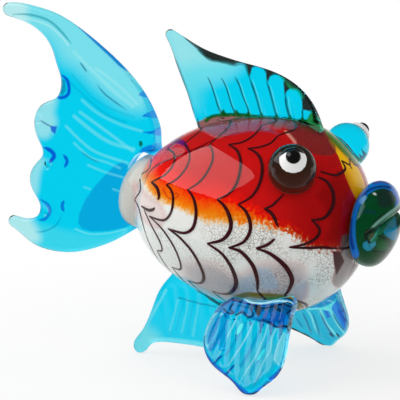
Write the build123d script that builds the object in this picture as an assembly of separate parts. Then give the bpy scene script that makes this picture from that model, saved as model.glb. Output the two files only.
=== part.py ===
from build123d import *
from math import atan2, cos, degrees, pi, radians, sin, sqrt
import os

# A fish of solid hot-worked glass, standing on two side fins and the fin under its tail end.
# Lengths are in millimetres and angles in degrees. X points to the mouth, Z up, and the fish's right is -Y.
# While it is modelled, X is measured from the widest place of the body and Z from the table.

# Body: an egg of revolution on an axis that dips a little towards the nose
body_radius = 50.5
nose_length = 47.0          # from the widest place to the nose
nose_cap_radius = 52.5      # of the arc over the nose
rump_length = 80.0          # from the widest place to the tail end
rump_cap_radius = 37.0      # of the arc over the tail end
nose_flat = 45.0            # from the widest place to the flat that the lips are pressed on
axis_height = 80.8          # of the widest place above the table
axis_dip = 2.3
neck_radius = 21.0          # pad of clear glass that carries the tail
neck_thickness = 26.0
neck_rim = 9.0
neck_reach = 75.0           # from the widest place back to the neck's centre
neck_flat = 86.0            # from the widest place back to the flat that the tail is pressed on
neck_rise = 4.5             # of the neck's centre above the axis

# Layers of the body, from the surface inwards
coat_depth = 2.2            # clear glass over the threads
thread_depth = 0.8
colour_depth = 1.2          # red and amber glass on the silver core

# Colours: sectors of one layer, by their angle from the crown round the body
amber_edge_angle = 22.0
red_edge_angle = 96.0

# Threads: rings wound round the body, combed into scallops between meridians
thread_width = 2.4          # at the fullest place of a scallop
thread_tip_width = 0.9      # where two scallops meet
scallop_reach = 12.0        # how far a scallop bulges towards the nose
scallop_overlap = 0.5
scallop_steps = 3
ring_station_shares = [-0.86, -0.765, -0.64, -0.46, -0.215, -0.065, 0.1, 0.35]  # of the rump
meridian_angles = [10, 38, 72, 99, 141, 180, 219, 261, 288, 322]  # from the crown, round the right side
meridian_lag_shares = [0.0, 0.0, -0.17, 0.3, 0.55, 0.6, 0.55, 0.3, -0.17, 0.0]  # of a scallop's reach
scallop_fullness_shares = [0.9, 0.9, 1.0, 1.25, 1.2, 1.2, 1.25, 1.0, 0.9, 0.9]  # of a scallop's reach

# Eyes: a dome, a white button and a pupil, each pressed on the one below
eye_reach = 21.6            # middle of the dome's ball, from the widest place
eye_spread = 38.1           # from the middle of the fish
eye_height = 112.5          # above the table
eye_turn = 66.0             # of the eye's axis from straight ahead
eye_lift = 32.0             # of the eye's axis above level
dome_radius = 12.0
dome_root = 14.0            # length of the dome's straight side, most of it inside the body
white_radius = 7.1
white_level = 8.3           # middle of the white's ball above the dome's
white_root = 3.0
pupil_radius = 4.05
pupil_level = 13.2
pupil_root = 2.0

# Mouth: one bit of glass pressed flat on the nose and cut across by a wedge, a little askew
lip_radius = 22.2
lip_thickness = 25.0
lip_rim = 8.0
lip_reach = 51.4            # from the widest place to the middle of the lips
lip_height = 80.2           # above the table
lip_tilt = 8.0              # the upper lip stands ahead of the lower
mouth_reach = 3.6           # the wedge's bottom, ahead of the middle of the lips
mouth_rise = 1.8            # and above it
mouth_open_angle = 46.0
mouth_lift_angle = 8.0      # of the wedge's middle above level
mouth_roll_angle = 6.0
mouth_corner_radius = 1.4

# Dorsal fin
dorsal_length = 90.0
dorsal_height = 66.0
dorsal_front = 24.6         # from the widest place
dorsal_floor = 107.5        # lowest place, inside the body, above the table
dorsal_root = 13.0          # thicknesses
dorsal_waist = 8.0
dorsal_edge = 4.4
dorsal_flare = 21.0         # height over which the root narrows to the waist
dorsal_shares = [(0.01, 0.16), (-0.02, 0.276), (-0.046, 0.381), (-0.108, 0.524), (-0.189, 0.624),
                 (-0.289, 0.695), (-0.391, 0.737), (-0.511, 0.77), (-0.644, 0.814), (-0.759, 0.866),
                 (-0.856, 0.933), (-0.922, 0.982), (-0.965, 1.0), (-0.989, 0.97), (-0.976, 0.915),
                 (-0.924, 0.749), (-0.879, 0.603), (-0.839, 0.48), (-0.807, 0.357), (-0.778, 0.257),
                 (-0.73, 0.05), (-0.4, 0.0), (-0.1, 0.04)]

# Tail fin
tail_length = 100.0
tail_height = 134.0
tail_front = -61.8          # from the widest place
tail_floor = 50.0           # lowest place above the table
tail_root = 14.0
tail_waist = 8.0
tail_edge = 4.6
tail_flare = 34.0
tail_shares = [(-0.04, 0.4), (-0.069, 0.481), (-0.073, 0.529), (-0.098, 0.583), (-0.17, 0.676), (-0.258, 0.751),
               (-0.402, 0.843), (-0.548, 0.919), (-0.66, 0.962), (-0.784, 0.987), (-0.92, 0.999),
               (-0.974, 0.985), (-0.977, 0.96), (-0.919, 0.937), (-0.802, 0.908), (-0.732, 0.871),
               (-0.682, 0.816), (-0.658, 0.761), (-0.636, 0.715), (-0.634, 0.67), (-0.662, 0.629),
               (-0.72, 0.609), (-0.775, 0.578), (-0.798, 0.512), (-0.775, 0.455), (-0.748, 0.4),
               (-0.795, 0.355), (-0.83, 0.3), (-0.803, 0.235), (-0.768, 0.187),
               (-0.785, 0.147), (-0.835, 0.131), (-0.902, 0.135), (-0.95, 0.135), (-0.966, 0.112),
               (-0.92, 0.08), (-0.819, 0.03), (-0.707, 0.008), (-0.595, 0.007), (-0.439, 0.035),
               (-0.304, 0.079), (-0.15, 0.15), (0.0, 0.25)]
pinch_radius = 5.0
pinch_depth = 1.3
pinch_shares = [(-0.7, 0.665), (-0.77, 0.54), (-0.72, 0.36), (-0.735, 0.17)]

# Fin under the tail end, whose tip is a foot
anal_length = 55.0
anal_height = 56.0
anal_front = -29.5
anal_floor = -0.8           # the tip before it is ground flat, above the table
anal_root = 11.0
anal_waist = 7.5
anal_edge = 6.4
anal_flare = 16.0
anal_shares = [(0.0, 0.45), (-0.01, 0.26), (-0.08, 0.15), (-0.268, 0.135), (-0.521, 0.143), (-0.671, 0.141),
               (-0.8, 0.1), (-0.87, 0.025), (-0.94, 0.015), (-0.98, 0.08), (-0.914, 0.204), (-0.825, 0.35),
               (-0.759, 0.511), (-0.679, 0.673), (-0.565, 0.809), (-0.45, 0.93), (-0.28, 1.0),
               (-0.08, 0.85)]

# Side fins, whose tips are feet
pectoral_length = 48.0
pectoral_height = 62.0      # along the slope of the fin
pectoral_front = 22.6
pectoral_floor = -1.6       # the tip before it is ground flat, along the slope
pectoral_splay = 32.8       # of the fin's slope from upright
pectoral_spread = 56.6      # from the middle of the fish to the tip's middle plane
pectoral_root = 12.0
pectoral_waist = 8.5
pectoral_edge = 6.6
pectoral_flare = 22.0
pectoral_shares = [(-0.04, 0.84), (-0.05, 0.732), (-0.036, 0.501), (-0.043, 0.291), (-0.092, 0.203),
                   (-0.213, 0.103), (-0.29, 0.04), (-0.37, 0.03), (-0.521, 0.108), (-0.799, 0.238),
                   (-0.925, 0.351), (-0.966, 0.454), (-0.946, 0.603), (-0.853, 0.752), (-0.724, 0.837),
                   (-0.6, 0.93), (-0.4, 1.0), (-0.12, 0.95)]

# Ribs pressed into the fins: rows of round grooves on both faces, inside a plain rim
groove_radius = 3.2
groove_depth = 0.9
rim_bevel = 1.5             # of every fin's outline
rim_steepest_share = 0.9    # an edge that runs more than this across the fin isn't its rim
dorsal_rib_middle = -20.0   # where the row's middle starts, from the widest place
dorsal_rib_pitch = 8.4
dorsal_rib_lean = 15.0      # of the grooves from upright, leaning back
dorsal_rib_count = 8
dorsal_rim_share = 0.8      # size of the ribbed field, of the fin
pectoral_rib_middle = 4.0
pectoral_rib_pitch = 5.6
pectoral_rib_lean = -9.0
pectoral_rib_count = 7
pectoral_rim_share = 0.82
anal_rib_middle = -50.0
anal_rib_pitch = 6.6
anal_rib_lean = -8.0
anal_rib_count = 6
anal_rim_share = 0.78
tail_rib_middle = -95.0
tail_rib_pitch = 8.5
tail_rib_lean = 52.0
tail_rib_count = 8
tail_rim_share = 0.66

cut_span = 400.0            # larger than the fish, for cuts that run right through
overrun = 5.0               # of a fin's section past its root and its edge

body_place = Location((0, 0, axis_height), (0, axis_dip, 0))
upper_half = Box(cut_span, cut_span, cut_span, align=(Align.CENTER, Align.CENTER, Align.MIN))
groove_bar = Cylinder(groove_radius, cut_span)


def egg_half(length, cap_radius):
    """Radius of the arc beside a cap of the egg, and the angle above the axis at which the two arcs meet."""
    side_radius = (length ** 2 + body_radius ** 2 - 2 * length * cap_radius) / (2 * (body_radius - cap_radius))
    rise = (side_radius - body_radius) / (side_radius - cap_radius)
    reach = (length - cap_radius) / (side_radius - cap_radius)
    return side_radius, degrees(atan2(rise, reach))


def egg_arcs(inset):
    """Half outline of the body's egg on its own axis, from nose to rump, drawn in by an inset all round."""
    nose_side, nose_turn = egg_half(nose_length, nose_cap_radius)
    rump_side, rump_turn = egg_half(rump_length, rump_cap_radius)
    return [
        CenterArc((nose_length - nose_cap_radius, 0), nose_cap_radius - inset, 0, nose_turn),
        CenterArc((0, body_radius - nose_side), nose_side - inset, nose_turn, 90 - nose_turn),
        CenterArc((0, body_radius - rump_side), rump_side - inset, 90, 90 - rump_turn),
        CenterArc((rump_cap_radius - rump_length, 0), rump_cap_radius - inset, 180 - rump_turn, rump_turn),
    ]


def egg(inset):
    """The body's egg, drawn in by an inset."""
    arcs = egg_arcs(inset)
    return revolve(make_face([*arcs, Line(arcs[-1] @ 1, arcs[0] @ 0)]), Axis.X)


def colour_sector(first, last):
    """The colour layer between two angles from the crown, counted round the right side."""
    outer = egg_arcs(coat_depth + thread_depth)
    inner = egg_arcs(coat_depth + thread_depth + colour_depth)
    ends = [Line(outer[0] @ 0, inner[0] @ 0), Line(outer[-1] @ 1, inner[-1] @ 1)]
    face = make_face([*outer, *inner, *ends])
    return Location((0, 0, 0), (first + 90, 0, 0)) * revolve(face, Axis.X, last - first)


def radius_at(station, inset):
    """Radius of that egg at a place along its axis."""
    length, cap_radius = (nose_length, nose_cap_radius) if station > 0 else (rump_length, rump_cap_radius)
    side_radius, turn = egg_half(length, cap_radius)
    past_cap_middle = abs(station) - (length - cap_radius)
    if past_cap_middle > (cap_radius - inset) * cos(radians(turn)):
        return sqrt((cap_radius - inset) ** 2 - past_cap_middle ** 2)
    return body_radius - side_radius + sqrt((side_radius - inset) ** 2 - station ** 2)


def pressed_ball(radius, thickness, rim):
    """A ball of glass pressed to two shallow caps and a round rim, its short axis along X."""
    height = thickness / 2
    reach = radius - rim
    cap_radius = (reach ** 2 + height ** 2 - rim ** 2) / (2 * (height - rim))
    turn = degrees(atan2(reach, cap_radius - height))
    front = CenterArc((height - cap_radius, 0), cap_radius, start_angle=0, arc_size=turn)
    edge = CenterArc((0, reach), rim, start_angle=turn, arc_size=180 - 2 * turn)
    back = CenterArc((cap_radius - height, 0), cap_radius, start_angle=180 - turn, arc_size=turn)
    return revolve(make_face([front, edge, back, Line(back @ 1, front @ 0)]), Axis.X)


def dome(radius, root):
    """A half ball of glass with a straight root, its top along X."""
    cap = CenterArc((0, 0), radius, start_angle=0, arc_size=90)
    half = make_face([cap, Polyline(cap @ 1, (-root, radius), (-root, 0), cap @ 0)])
    return revolve(half, Axis.X)


def thread_ring(station):
    """One ring of thread as prisms that run outwards, before they are cut to their layer."""
    count = len(meridian_angles)
    scallops = []
    for turn in range(count):
        after = (turn + 1) % count
        sweep = (meridian_angles[after] - meridian_angles[turn]) % 360
        middle = radians(meridian_angles[turn] + sweep / 2)
        nose_edge, rump_edge = [], []
        for step in range(scallop_steps + 1):
            share = step / scallop_steps
            swell = sin(pi * share)
            lag = meridian_lag_shares[turn] * (1 - share) + meridian_lag_shares[after] * share
            along = station + scallop_reach * (scallop_fullness_shares[turn] * swell - lag)
            half_width = (thread_tip_width + (thread_width - thread_tip_width) * swell) / 2
            side = radius_at(along, coat_depth) * sin(radians(sweep * (0.5 - share)))
            side += scallop_overlap * (1 - 2 * share)
            nose_edge.append((along + half_width, side))
            rump_edge.append((along - half_width, side))
        patch = make_face(Polyline(*nose_edge, *reversed(rump_edge), close=True))
        radii = [radius_at(along, coat_depth) for along, side in nose_edge + rump_edge]
        floor = min(radii) * cos(radians(sweep / 2)) - 2 * thread_depth
        outward = Vector(0, -sin(middle), cos(middle))
        plane = Plane(origin=outward * floor, x_dir=(1, 0, 0), z_dir=outward)
        scallops.append(extrude(plane * patch, max(radii) + thread_depth - floor))
    return scallops[0].fuse(*scallops[1:])


def body_pieces():
    """The layers of the body, and the whole that the other pieces seat on."""
    neck = Location((-neck_reach, 0, neck_rise)) * pressed_ball(neck_radius, neck_thickness, neck_rim)
    trunk = Location((nose_flat, 0, 0)) * Box(nose_flat + neck_flat, cut_span, cut_span,
                                              align=(Align.MAX, Align.CENTER, Align.CENTER))
    whole = (egg(0) + neck) & trunk
    thread_bed = egg(coat_depth + thread_depth)
    thread_layer = egg(coat_depth) - thread_bed
    rings = [thread_layer & thread_ring(share * rump_length) for share in ring_station_shares]
    red_sides = [colour_sector(amber_edge_angle, red_edge_angle), colour_sector(-red_edge_angle, -amber_edge_angle)]
    pieces = {
        "glass_core": egg(coat_depth + thread_depth + colour_depth),
        "silver_leaf": colour_sector(red_edge_angle, 360 - red_edge_angle),
        "red_overlay": Compound(red_sides),
        "amber_overlay": colour_sector(-amber_edge_angle, amber_edge_angle),
        "combed_threads": Compound([solid for ring in rings for solid in ring.solids()]),
        "clear_casing": whole - thread_bed,
    }
    return {name: body_place * piece for name, piece in pieces.items()}, body_place * whole


def eye_pieces(whole):
    """The right eye's three buttons, each seated on the one below."""
    axis = Location((eye_reach, -eye_spread, eye_height)) * Location((0, 0, 0), (0, 0, -eye_turn))
    axis *= Location((0, 0, 0), (0, -eye_lift, 0))
    ball = axis * dome(dome_radius, dome_root)
    white = axis * Location((white_level, 0, 0)) * dome(white_radius, white_root)
    pupil = axis * Location((pupil_level, 0, 0)) * dome(pupil_radius, pupil_root)
    return {"eye_domes": ball - whole, "eye_whites": white - ball, "pupils": pupil - white}


def lips_piece(whole):
    """The pressed bit of the mouth, cut across by a wedge."""
    place = Location((lip_reach, 0, lip_height), (0, lip_tilt, 0))
    upper, lower = mouth_lift_angle + mouth_open_angle / 2, mouth_lift_angle - mouth_open_angle / 2
    corners = [(cut_span * cos(radians(turn)), 0, cut_span * sin(radians(turn))) for turn in (upper, lower)]
    opening = extrude(make_face(Polyline((0, 0, 0), *corners, close=True)), cut_span, both=True)
    opening += Location((0, 0, 0), (90, 0, 0)) * Cylinder(mouth_corner_radius, 2 * cut_span)
    opening = Location((lip_reach + mouth_reach, 0, lip_height + mouth_rise), (mouth_roll_angle, 0, 0)) * opening
    return place * pressed_ball(lip_radius, lip_thickness, lip_rim) - opening - whole


def placed(shares, front, floor, length, height):
    """Points in the XZ plane from shares of a length and a height."""
    return [(front + along * length, floor + up * height) for along, up in shares]


def slab(points, thickness, share=1):
    """A smooth outline in the XZ plane, drawn in to a share of its size about its middle, made thick."""
    middle = [sum(values) / len(points) for values in zip(*points)]
    drawn = [(middle[0] + share * (along - middle[0]), -thickness, middle[1] + share * (up - middle[1]))
             for along, up in points]
    face = make_face(Spline(*drawn, periodic=True))
    return extrude(face, 2 * thickness, dir=(0, 1, 0))


def fin_section(root, waist, edge, flare, height):
    """A fin's thickness along X: thick at its root at level zero, hollowed to its waist, thin at its edge."""
    narrowing = (waist - edge) / 2 / (height - flare) * overrun
    half = [(root / 2, -overrun), (waist / 2, flare), (edge / 2 - narrowing, height + overrun)]
    near = Spline(*[(-cut_span / 2, across, up) for across, up in half])
    far = Spline(*[(-cut_span / 2, -across, up) for across, up in half])
    face = make_face([near, Line(near @ 1, far @ 1), far, Line(far @ 0, near @ 0)])
    return extrude(face, cut_span, dir=(1, 0, 0))


def pressed_fin(points, root_place, sizes, rib_row, rim_share):
    """A fin with rounded rim and ribs. Its root place turns upright into the way from root to edge."""
    root, waist, edge, flare, height = sizes
    blade = slab(points, root) & (root_place * fin_section(*sizes))
    walls = [face for face in blade.faces() if abs(face.normal_at().Y) < rim_steepest_share]
    rim = [edge for wall in walls for edge in wall.edges() if abs((edge % 0.5).Y) < rim_steepest_share]
    blade = chamfer(rim, rim_bevel)

    middle, pitch, lean, count = rib_row
    taper = degrees(atan2((waist - edge) / 2, height - flare))
    across = waist / 2 + groove_radius - groove_depth
    field = slab(points, root, rim_share) & (root_place * Location((0, 0, flare)) * upper_half)
    bars = []
    for turn in range(count):
        along = middle + pitch * (turn - (count - 1) / 2)
        for side in (-1, 1):
            bar = Location((along, side * across, flare), (side * taper, -lean, 0)) * groove_bar
            bars.append(field & (root_place * bar))
    return blade - bars


def fin_pieces(whole):
    """The tail and the fins, each seated on the body. The feet are ground flat on the table."""
    down = (180, 0, 0)
    dorsal_points = placed(dorsal_shares, dorsal_front, dorsal_floor, dorsal_length, dorsal_height)
    dorsal = pressed_fin(dorsal_points, Location((0, 0, dorsal_floor)),
                         (dorsal_root, dorsal_waist, dorsal_edge, dorsal_flare, dorsal_height),
                         (dorsal_rib_middle, dorsal_rib_pitch, dorsal_rib_lean, dorsal_rib_count),
                         dorsal_rim_share)

    tail_points = placed(tail_shares, tail_front, tail_floor, tail_length, tail_height)
    tail = pressed_fin(tail_points, Location((tail_front, 0, tail_floor + tail_height / 2), (0, -90, 0)),
                       (tail_root, tail_waist, tail_edge, tail_flare, tail_length),
                       (tail_rib_middle, tail_rib_pitch, tail_rib_lean, tail_rib_count), tail_rim_share)
    for along, up in placed(pinch_shares, tail_front, tail_floor, tail_length, tail_height):
        for side in (-1, 1):
            across = side * (tail_edge / 2 + pinch_radius - pinch_depth)
            tail -= Location((along, across, up)) * Sphere(pinch_radius)

    anal_points = placed(anal_shares, anal_front, anal_floor, anal_length, anal_height)
    anal = pressed_fin(anal_points, Location((0, 0, anal_floor + anal_height), down),
                       (anal_root, anal_waist, anal_edge, anal_flare, anal_height),
                       (anal_rib_middle, anal_rib_pitch, anal_rib_lean, anal_rib_count), anal_rim_share)

    side_points = placed(pectoral_shares, pectoral_front, pectoral_floor, pectoral_length, pectoral_height)
    side_fin = pressed_fin(side_points, Location((0, 0, pectoral_floor + pectoral_height), down),
                           (pectoral_root, pectoral_waist, pectoral_edge, pectoral_flare, pectoral_height),
                           (pectoral_rib_middle, pectoral_rib_pitch, pectoral_rib_lean, pectoral_rib_count),
                           pectoral_rim_share)
    right = Location((0, -pectoral_spread, 0), (-pectoral_splay, 0, 0)) * side_fin
    right = (right - whole) & upper_half
    return {
        "tail_fin": tail - whole,
        "dorsal_fin": dorsal - whole,
        "anal_fin": (anal - whole) & upper_half,
        "right_pectoral_fin": right,
        "left_pectoral_fin": mirror(right, Plane.XZ),
    }


pieces, body_whole = body_pieces()
pieces.update(fin_pieces(body_whole))
pieces["lips"] = lips_piece(body_whole)
for name, piece in eye_pieces(body_whole).items():
    pieces[name] = Compound([*piece.solids(), *mirror(piece, Plane.XZ).solids()])

# The origin goes under the middle of the whole fish, on the table
box = Compound(list(pieces.values())).bounding_box()
to_origin = Location((-box.center().X, -box.center().Y, -box.min.Z))
os.makedirs("parts", exist_ok=True)
for name, piece in pieces.items():
    export_step(to_origin * piece, f"parts/{name}.step")
    print(name, len(piece.solids()), "solids,", round(piece.volume / 1000, 2), "cm3")
print("size", [round(length, 1) for length in box.size])
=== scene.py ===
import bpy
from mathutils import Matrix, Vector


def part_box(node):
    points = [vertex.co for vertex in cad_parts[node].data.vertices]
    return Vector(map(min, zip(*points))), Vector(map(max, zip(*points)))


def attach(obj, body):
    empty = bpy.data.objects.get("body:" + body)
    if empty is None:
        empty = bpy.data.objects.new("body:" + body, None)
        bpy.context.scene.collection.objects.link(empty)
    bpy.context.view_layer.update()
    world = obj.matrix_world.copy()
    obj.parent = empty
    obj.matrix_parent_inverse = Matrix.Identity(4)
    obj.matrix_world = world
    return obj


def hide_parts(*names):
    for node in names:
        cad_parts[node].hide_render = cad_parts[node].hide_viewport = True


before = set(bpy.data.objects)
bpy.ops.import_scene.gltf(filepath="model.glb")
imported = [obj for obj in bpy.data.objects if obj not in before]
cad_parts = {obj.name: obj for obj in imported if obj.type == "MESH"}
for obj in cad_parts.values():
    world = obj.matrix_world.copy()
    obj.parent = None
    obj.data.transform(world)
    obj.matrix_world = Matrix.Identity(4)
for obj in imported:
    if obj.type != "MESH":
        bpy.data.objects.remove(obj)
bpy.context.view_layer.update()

import math

import bpy
import numpy as np
from mathutils import Matrix, Vector
from mathutils.kdtree import KDTree

# Sizes are in millimetres and turned into metres where they are used. X points to the mouth, Z up.
mm = 0.001
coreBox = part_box("glass_core")

body = {
    "radius": 50.5,
    "noseLength": 47.0,       # from the widest place
    "rumpLength": 80.0,
    "dip": 2.3,               # of the axis to the nose, in degrees
    "height": 80.8,
    "coreNose": 42.8,         # from the widest place to the nose of the glass core
    "neckReach": 75.0,
    "neckRise": 4.5,
    "neckRadius": 21.0,
    "neckThickness": 26.0,
    "neckTilt": 18.0,
    "rings": 160,
    "segments": 256,
    "voxel": 0.8,             # of the clear casing
    "paintVoxel": 0.74,       # of the colours inside it
}
widestX = coreBox[1][0] - body["coreNose"] * mm
bodyPlace = Matrix.Translation((widestX, 0, body["height"] * mm)) @ \
    Matrix.Rotation(math.radians(body["dip"]), 4, "Y")


# Nothing but this object is selected, and it is active
def pick(obj):
    bpy.ops.object.select_all(action="DESELECT")
    obj.select_set(True)
    bpy.context.view_layer.objects.active = obj
    return obj


def settle(obj, place=Matrix.Identity(4)):
    pick(obj)
    obj.matrix_world = place @ obj.matrix_world
    bpy.ops.object.transform_apply(location=True, rotation=True, scale=True)
    return obj


def finishWith(obj, kind, **values):
    pick(obj)
    modifier = obj.modifiers.new(kind.lower(), kind)
    for key, value in values.items():
        setattr(modifier, key, value)
    bpy.ops.object.modifier_apply(modifier=modifier.name)
    return obj


def smoothShade(obj):
    pick(obj)
    bpy.ops.object.shade_smooth()
    return obj


def wear(obj, material):
    obj.data.materials.clear()
    obj.data.materials.append(material)
    return obj


# Camera
camera = {
    "azimuth": 24.0,
    "elevation": 10.5,
    "distance": 1200.0,
    "aimAhead": -44.96,       # of the widest place
    "aimHeight": 85.08,
    "lens": 207.69,
    "sensor": 36.0,
    "picture": 400,           # pixels across
}
cameraTurn, cameraLift = math.radians(camera["azimuth"]), math.radians(camera["elevation"])
toCamera = Vector((math.sin(cameraTurn) * math.cos(cameraLift), -math.cos(cameraTurn) * math.cos(cameraLift),
                   math.sin(cameraLift)))
cameraRight = Vector((math.cos(cameraTurn), math.sin(cameraTurn), 0))
cameraUp = toCamera.cross(cameraRight)
cameraPlace = Vector((widestX + camera["aimAhead"] * mm, 0, camera["aimHeight"] * mm)) + \
    toCamera * camera["distance"] * mm


def placeCamera():
    bpy.ops.object.camera_add(location=cameraPlace)
    eye = bpy.context.object
    eye.rotation_euler = toCamera.to_track_quat("Z", "Y").to_euler()
    eye.data.lens = camera["lens"]
    eye.data.sensor_width = camera["sensor"]
    eye.data.clip_end = 10.0
    bpy.context.scene.camera = eye


refraction = 1.4


# Painting: each point of a mesh is given a colour and a strength by named marks, which lie
# where the photograph shows them, in its pixels

# A colour as a screen shows it, 0 to 255, turned into the light that a shader takes
def shade(red, green, blue):
    return tuple(value / 255 / 12.92 if value < 10.3 else ((value / 255 + 0.055) / 1.055) ** 2.4
                 for value in (red, green, blue))


# Where points of the scene lie in the picture, in pixels
def seenFrom(points):
    away = points - np.array(cameraPlace)
    depth = -away @ np.array(toCamera)
    scale = camera["lens"] / camera["sensor"] * camera["picture"]
    middle = camera["picture"] / 2
    return np.stack([middle + scale * (away @ np.array(cameraRight)) / depth,
                     middle - scale * (away @ np.array(cameraUp)) / depth], axis=1)


# Distance of each spot to a run of straight stretches, and how far along it the nearest place is
def distanceToLine(spots, line):
    best = np.full(len(spots), 1e9)
    share = np.zeros(len(spots))
    steps = len(line) - 1
    for turn in range(steps):
        first, last = np.array(line[turn], float), np.array(line[turn + 1], float)
        run = last - first
        along = np.clip((spots - first) @ run / (run @ run), 0, 1)
        gap = np.linalg.norm(spots - first - along[:, None] * run, axis=1)
        nearer = gap < best
        best[nearer] = gap[nearer]
        share[nearer] = (turn + along[nearer]) / steps
    return best, share


def insidePatch(spots, corners):
    inside = np.zeros(len(spots), bool)
    x, y = spots[:, 0], spots[:, 1]
    for (x0, y0), (x1, y1) in zip(corners, corners[1:] + corners[:1]):
        if y0 == y1:
            continue
        crosses = (y0 > y) != (y1 > y)
        inside ^= crosses & (x < (x1 - x0) * (y - y0) / (y1 - y0) + x0)
    return inside


def smooth(values, low, high):
    share = np.clip((values - low) / (high - low), 0, 1)
    return share * share * (3 - 2 * share)


# A smooth line through the points, which may be of two or more numbers each
def curved(points, steps=5):
    knots = np.array([points[0], *points, points[-1]], float)
    line = []
    for before, first, last, after in zip(knots, knots[1:], knots[2:], knots[3:]):
        for step in range(steps):
            t = step / steps
            bend = 2 * before - 5 * first + 4 * last - after
            twist = 3 * first - before - 3 * last + after
            line.append((2 * first + (last - before) * t + bend * t ** 2 + twist * t ** 3) / 2)
    return [tuple(point) for point in line] + [tuple(points[-1])]


# How strongly a mark covers each spot: a stroke has a width, and a patch is filled
def markWeight(spots, mark):
    outline = np.array(mark.get("patch") or mark["stroke"])
    margin = mark.get("width", 0) + mark.get("soft", 1.0)
    near = np.all((spots > outline.min(axis=0) - margin) & (spots < outline.max(axis=0) + margin), axis=1)
    weight = np.zeros(len(spots))
    weight[near] = nearWeight(spots[near], mark)
    return weight


def nearWeight(spots, mark):
    soft = mark.get("soft", 1.0)
    if "patch" in mark:
        gap, share = distanceToLine(spots, mark["patch"] + mark["patch"][:1])
        gap = np.where(insidePatch(spots, mark["patch"]), -gap, gap)
        return mark["strength"] * smooth(gap, soft / 2, -soft / 2)
    gap, share = distanceToLine(spots, mark["stroke"])
    first, last = mark.get("ends", (1, 1))
    swell = np.minimum(1, np.minimum(first + share * 4, last + (1 - share) * 4))
    half = mark["width"] / 2 * swell
    return mark["strength"] * smooth(gap, half + soft / 2, np.maximum(half - soft / 2, -soft / 4))


# Where the points behind a fin's middle plane are seen on its near face, along the bent line of sight
def throughGlass(places, middle, normal):
    normal = np.array(normal)
    behind = np.minimum((places - middle) @ normal, 0)[:, None]
    sight = np.array(toCamera)
    slant = (sight - (sight @ normal) * normal) / refraction
    return places - 2 * behind * (normal + slant / math.sqrt(1 - slant @ slant))


# Colours the points of a mesh. On a fin, whose plane is given, the marks go through the glass, or
# where the tint of its back is given, its face alone carries them. A mirrored piece has on the side
# away from the camera what it has on the near one
def paint(piece, base, marks, plane=None, backTint=None, mirrored=False):
    mesh = piece.data
    places = np.empty(len(mesh.vertices) * 3)
    mesh.vertices.foreach_get("co", places)
    places = places.reshape(-1, 3)
    normals = np.empty(len(mesh.vertices) * 3)
    mesh.vertex_normals.foreach_get("vector", normals)
    normals = normals.reshape(-1, 3)
    facing = np.ones(len(places), bool)
    if plane and not backTint:
        spots = seenFrom(throughGlass(places, *plane))
    else:
        spots = seenFrom(places)
    if not plane:
        facing = normals @ np.array(toCamera) > 0
    if mirrored:
        across = np.array([1, -1, 1])
        spots[~facing] = seenFrom(places[~facing] * across)
        facing |= (normals * across) @ np.array(toCamera) > 0
    tint = np.tile(np.array([*base, 0.0]), (len(spots), 1))
    for mark in marks.values():
        weight = markWeight(spots, mark) * facing
        cover = weight[:, None]
        tint[:, :3] = tint[:, :3] * (1 - cover) + np.array(mark["colour"]) * cover
        tint[:, 3] = np.maximum(tint[:, 3], weight)
    if backTint:
        front = np.clip(0.5 + 2 * normals @ np.array(plane[1]), 0, 1)[:, None]
        back = np.array(backTint)
        tint[:, :3] = front * np.minimum(1, tint[:, :3] ** 2 / back) + (1 - front) * back
    layer = mesh.color_attributes.new("tint", "FLOAT_COLOR", "POINT")
    layer.data.foreach_set("color", tint.ravel())


# Places are given as x, y, x, y and so on, and colours as a screen shows them
def pairs(numbers):
    return list(zip(numbers[::2], numbers[1::2]))


def line(colour, width, strength, *numbers, **more):
    stroke = curved(pairs(numbers))
    return {"stroke": stroke, "colour": shade(*colour), "width": width, "strength": strength, **more}


def patch(colour, soft, strength, *numbers):
    points = pairs(numbers)
    corners = curved(points + points[:1]) if soft > 1.5 else points
    return {"patch": corners, "colour": shade(*colour), "soft": soft, "strength": strength}


# Shader helpers
def freshMaterial(name):
    material = bpy.data.materials.new(name)
    material.use_nodes = True
    nodes = material.node_tree.nodes
    return material, nodes, material.node_tree.links, nodes["Principled BSDF"]


def embeddedGlass(name, colour, roughness):
    material, nodes, links, shader = freshMaterial(name)
    shader.inputs["Base Color"].default_value = (*shade(*colour), 1.0)
    shader.inputs["Roughness"].default_value = roughness
    shader.inputs["Specular IOR Level"].default_value = 0.0
    return material


def paintedTint(nodes):
    node = nodes.new("ShaderNodeAttribute")
    node.attribute_name = "tint"
    return node.outputs


def paintedGlass(name, clearness=1.0):
    material, nodes, links, shader = freshMaterial(name)
    links.new(paintedTint(nodes)["Color"], shader.inputs["Base Color"])
    shader.inputs["Roughness"].default_value = 0.0
    shader.inputs["IOR"].default_value = refraction
    shader.inputs["Transmission Weight"].default_value = clearness
    return material


def noise(nodes, links, where, scale, detail=2.0):
    node = nodes.new("ShaderNodeTexNoise")
    node.inputs["Scale"].default_value = scale
    node.inputs["Detail"].default_value = detail
    links.new(where, node.inputs["Vector"])
    return node.outputs


def ramp(nodes, stops):
    node = nodes.new("ShaderNodeValToRGB")
    while len(node.color_ramp.elements) < len(stops):
        node.color_ramp.elements.new(0.5)
    for element, (place, colour) in zip(node.color_ramp.elements, stops):
        element.position = place
        element.color = (*colour, 1.0)
    return node


# A Math node whose inputs are numbers or sockets; gives its output socket
def maths(nodes, links, operation, *values, clamp=False):
    node = nodes.new("ShaderNodeMath")
    node.operation = operation
    node.use_clamp = clamp
    for socket, value in zip(node.inputs, values):
        if isinstance(value, (int, float)):
            socket.default_value = value
        else:
            links.new(value, socket)
    return node.outputs[0]


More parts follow.
